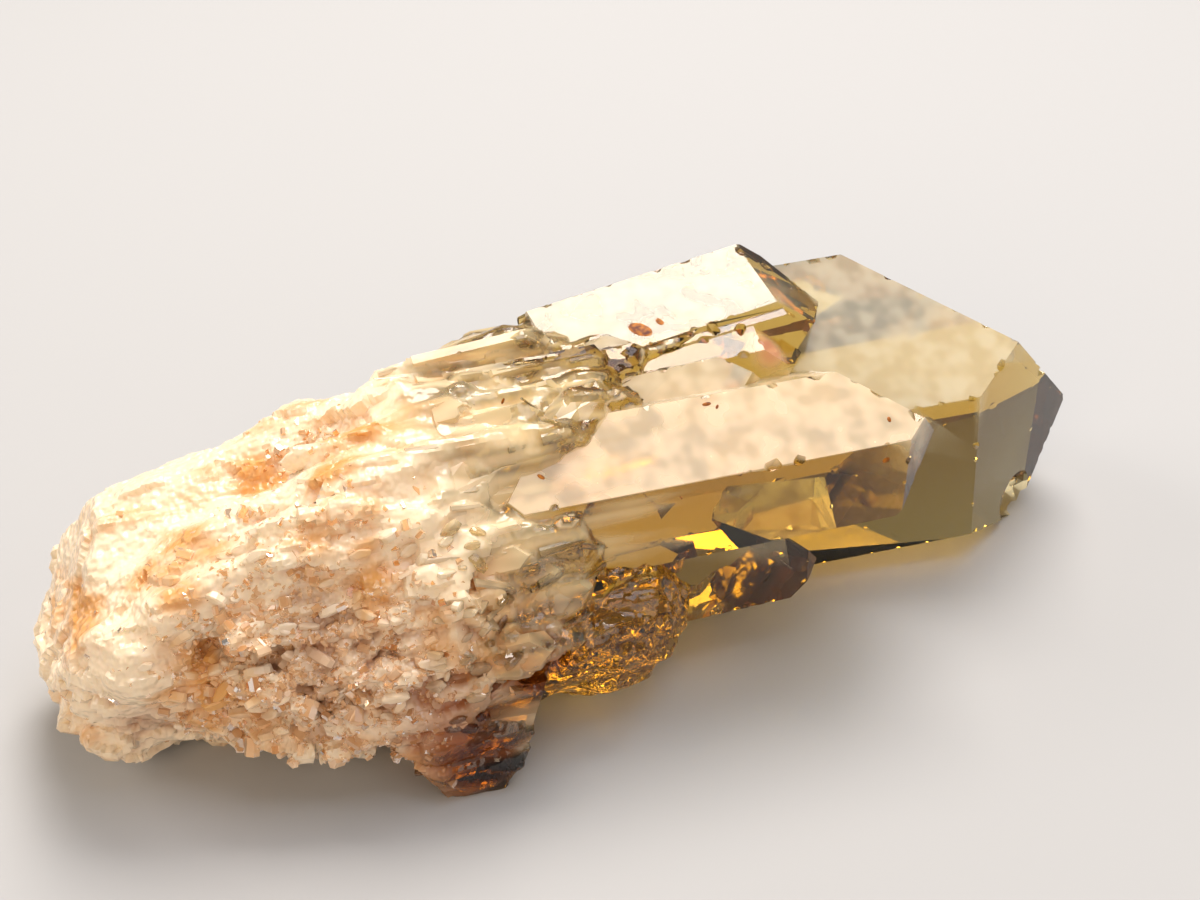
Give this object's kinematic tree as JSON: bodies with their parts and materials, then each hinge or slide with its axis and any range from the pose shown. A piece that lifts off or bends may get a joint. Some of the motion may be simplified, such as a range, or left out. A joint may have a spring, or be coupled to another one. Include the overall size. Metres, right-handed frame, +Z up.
{
  "type": "citrine crystal",
  "caption": "Bundle of pointed quartz crystals grown side by side out of a broken milky root, lying on its side as one fused specimen.",
  "frame": {"origin": "middle of the underside of the specimen's bounding box, on the surface it lies on", "axes": "+X along the crystals, from the broken root towards the tips; +Z up as it lies; -Y is the side the picture shows"},
  "size_m": [0.0874, 0.0354, 0.0256],
  "materials": {
    "citrine": "natural quartz, clear pale gold at the tips and milky cream at the root"
  },
  "bodies": {
    "root": {"citrine_crystal": "citrine"}
  },
  "joints": []
}
